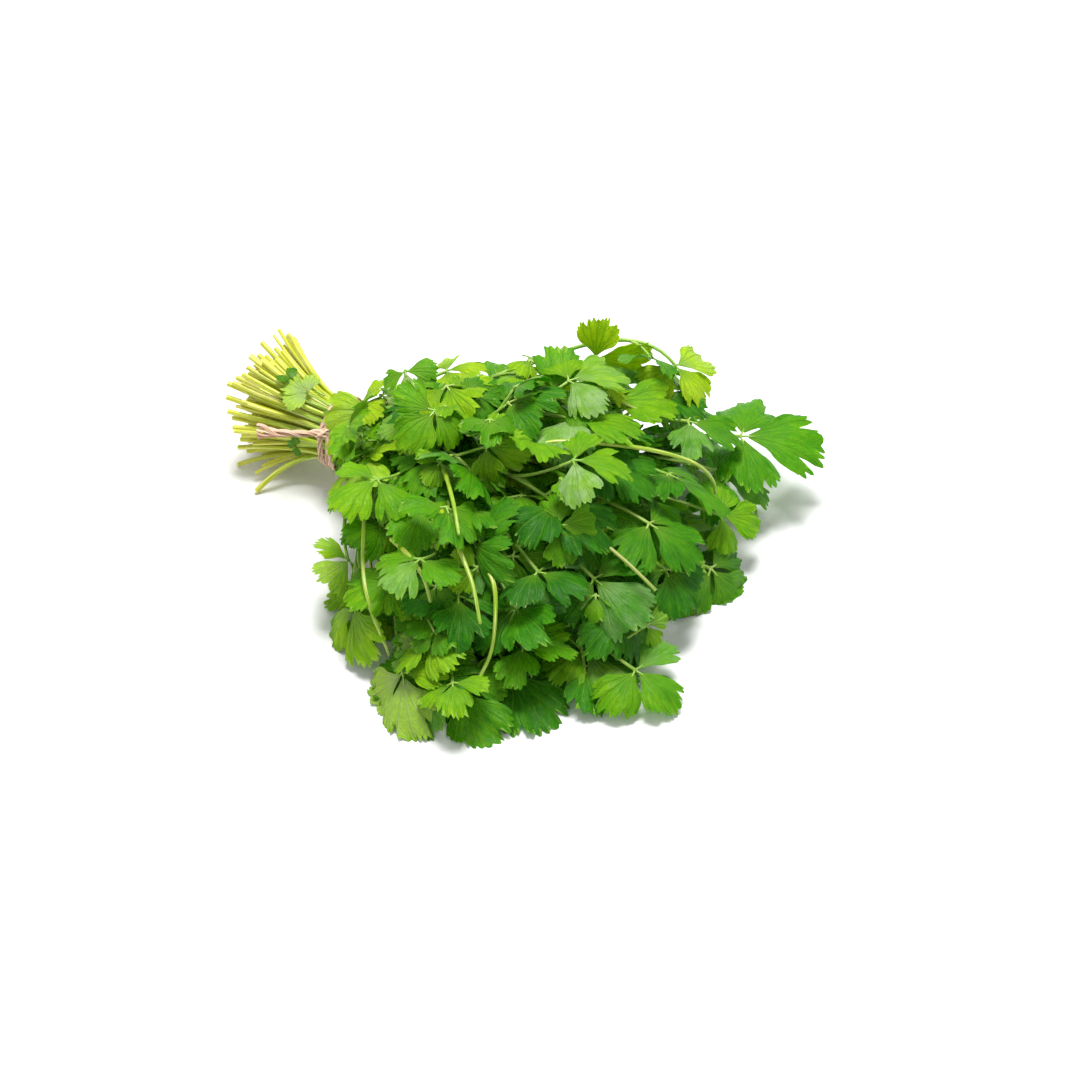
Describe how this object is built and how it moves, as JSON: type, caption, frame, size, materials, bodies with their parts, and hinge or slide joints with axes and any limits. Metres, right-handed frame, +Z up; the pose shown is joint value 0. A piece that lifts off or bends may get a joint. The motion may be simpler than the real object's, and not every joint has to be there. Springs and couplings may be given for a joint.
{
  "type": "tied bunch of coriander",
  "caption": "Bunch of fresh coriander lying on its side: cut stems held by a raffia tie and fanning out to a low mound of leaves of three toothed leaflets.",
  "frame": {"origin": "on the surface that the bunch lies on, under the middle of its bounding box", "axes": "+Z up; the stems run from the cut ends on the -X side towards the leaves on the +X and -Y side"},
  "size_m": [0.2726, 0.2355, 0.0875],
  "materials": {
    "leaf": "fresh green herb leaves on pale green stalks, satin on top and paler underneath",
    "stem": "moist pale green stem, satin, whitish at the cut end",
    "tie": "dry pinkish tan raffia, matt and fibrous"
  },
  "bodies": {
    "root": {"sprig_01": "leaf", "sprig_02": "leaf", "sprig_03": "leaf", "sprig_04": "leaf", "sprig_05": "leaf", "sprig_06": "leaf", "sprig_07": "leaf", "sprig_08": "leaf", "sprig_09": "leaf", "sprig_10": "leaf", "sprig_11": "leaf", "sprig_12": "leaf", "sprig_13": "leaf", "sprig_14": "leaf", "sprig_15": "leaf", "sprig_16": "leaf", "sprig_17": "leaf", "sprig_18": "leaf", "sprig_19": "leaf", "sprig_20": "leaf", "sprig_21": "leaf", "sprig_22": "leaf", "sprig_23": "leaf", "sprig_24": "leaf", "sprig_25": "leaf", "sprig_26": "leaf", "sprig_27": "leaf", "sprig_28": "leaf", "sprig_29": "leaf", "sprig_30": "leaf", "sprig_31": "leaf", "sprig_32": "leaf", "sprig_33": "leaf", "sprig_34": "leaf", "sprig_35": "leaf", "sprig_36": "leaf", "sprig_37": "leaf", "sprig_38": "leaf", "sprig_39": "leaf", "sprig_40": "leaf", "sprig_41": "leaf", "sprig_42": "leaf", "sprig_43": "leaf", "sprig_44": "leaf", "sprig_45": "leaf", "sprig_46": "leaf", "sprig_47": "leaf", "sprig_48": "leaf", "sprig_49": "leaf", "sprig_50": "leaf", "stem_01": "stem", "stem_02": "stem", "stem_03": "stem", "stem_04": "stem", "tie": "tie"}
  },
  "joints": []
}
